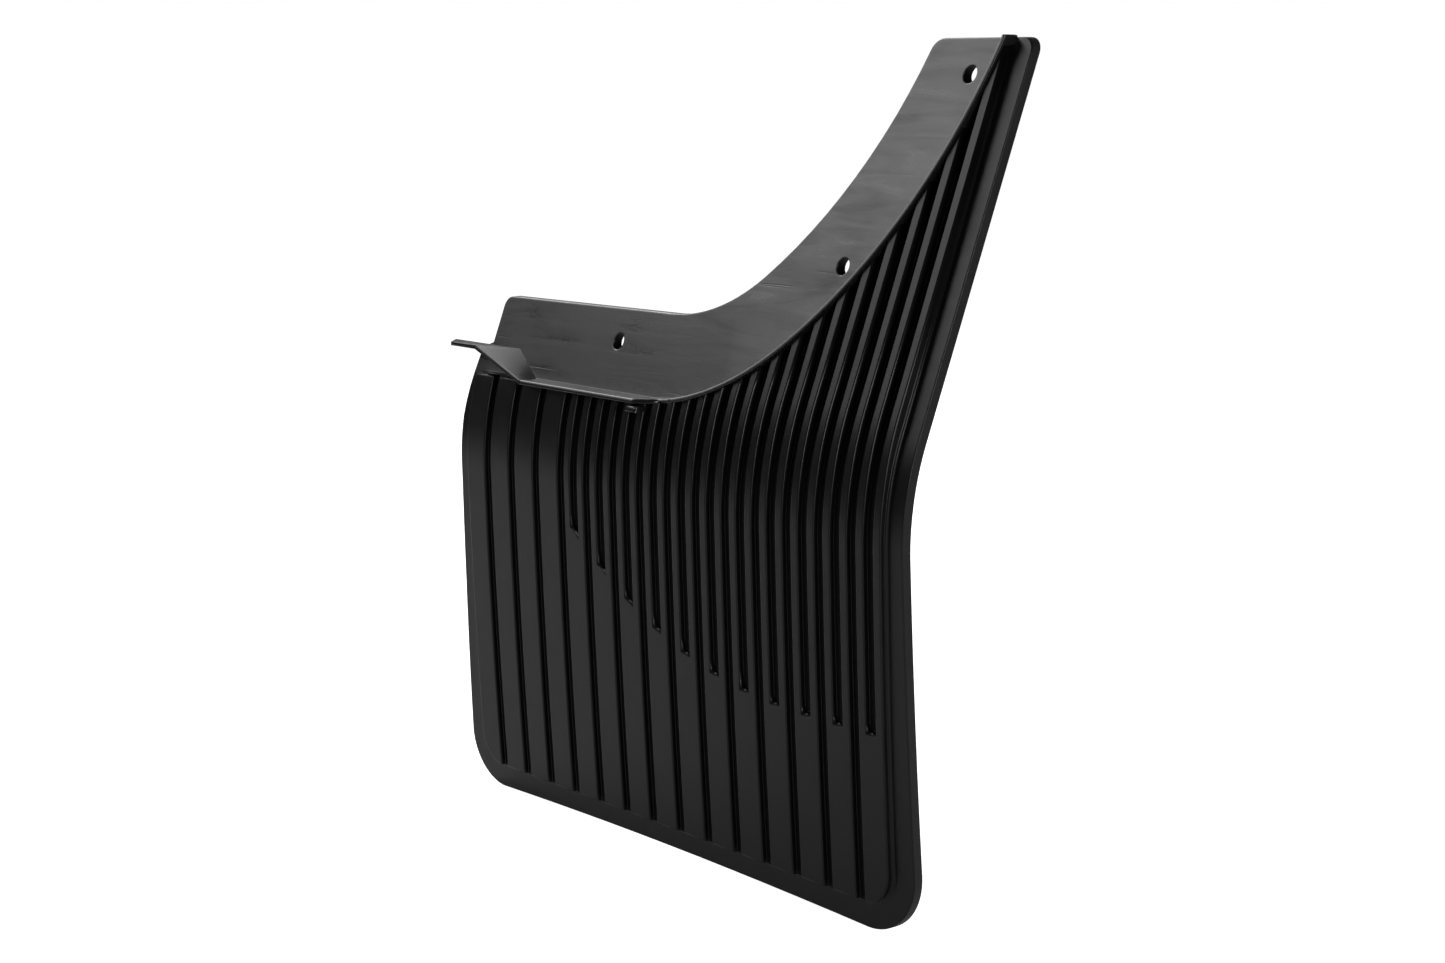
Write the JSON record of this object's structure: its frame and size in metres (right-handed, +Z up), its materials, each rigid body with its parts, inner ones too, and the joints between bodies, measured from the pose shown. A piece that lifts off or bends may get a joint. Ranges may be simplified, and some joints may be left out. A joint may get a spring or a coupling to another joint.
{
  "type": "mud flap",
  "caption": "Moulded vehicle mud flap: a ribbed hanging panel with a rounded bend and a curved mounting flange with screw holes, edged by a lip and a locating tongue.",
  "frame": {"origin": "centre of the middle screw hole, halfway through the flange", "axes": "+X across the flap towards its high outboard edge, +Y from the ribbed front to the plain back, +Z up"},
  "size_m": [0.3126, 0.0708, 0.3415],
  "materials": {
    "moulding": "satin black moulded"
  },
  "bodies": {
    "mount": {"flange_plate": "moulding", "lip_inner": "moulding", "lip_step": "moulding", "lip_outer": "moulding", "lip_peg": "moulding", "tongue_ramp": "moulding", "tongue_tab": "moulding", "upper_sheet": "moulding", "upper_rib_01": "moulding", "upper_rib_02": "moulding", "upper_rib_03": "moulding", "upper_rib_04": "moulding", "upper_rib_05a": "moulding", "upper_rib_05b": "moulding", "upper_rib_06a": "moulding", "upper_rib_06b": "moulding", "upper_rib_07a": "moulding", "upper_rib_07b": "moulding", "upper_rib_08a": "moulding", "upper_rib_08b": "moulding", "upper_rib_09a": "moulding", "upper_rib_09b": "moulding", "upper_rib_10a": "moulding", "upper_rib_10b": "moulding", "upper_rib_11a": "moulding", "upper_rib_11b": "moulding", "upper_rib_12a": "moulding", "upper_rib_12b": "moulding", "upper_rib_13a": "moulding", "upper_rib_13b": "moulding", "upper_rib_14a": "moulding", "upper_rib_14b": "moulding", "upper_rib_15a": "moulding", "upper_rib_15b": "moulding"},
    "skirt": {"lower_sheet": "moulding", "lower_rib_01": "moulding", "lower_rib_02": "moulding", "lower_rib_03": "moulding", "lower_rib_04": "moulding", "lower_rib_05": "moulding", "lower_rib_06": "moulding", "lower_rib_07": "moulding", "lower_rib_08": "moulding", "lower_rib_09": "moulding", "lower_rib_10": "moulding", "lower_rib_11": "moulding", "lower_rib_12": "moulding", "lower_rib_13": "moulding", "lower_rib_14": "moulding", "lower_rib_15": "moulding"}
  },
  "joints": [
    {"name": "bend_flex", "type": "hinge", "parent": "mount", "child": "skirt", "pos_m": [-0.0851, -0.02758, -0.07936], "axis": [1, 0, 0], "range_deg": [-25, 15], "stiffness_Nm_per_rad": 4}
  ]
}
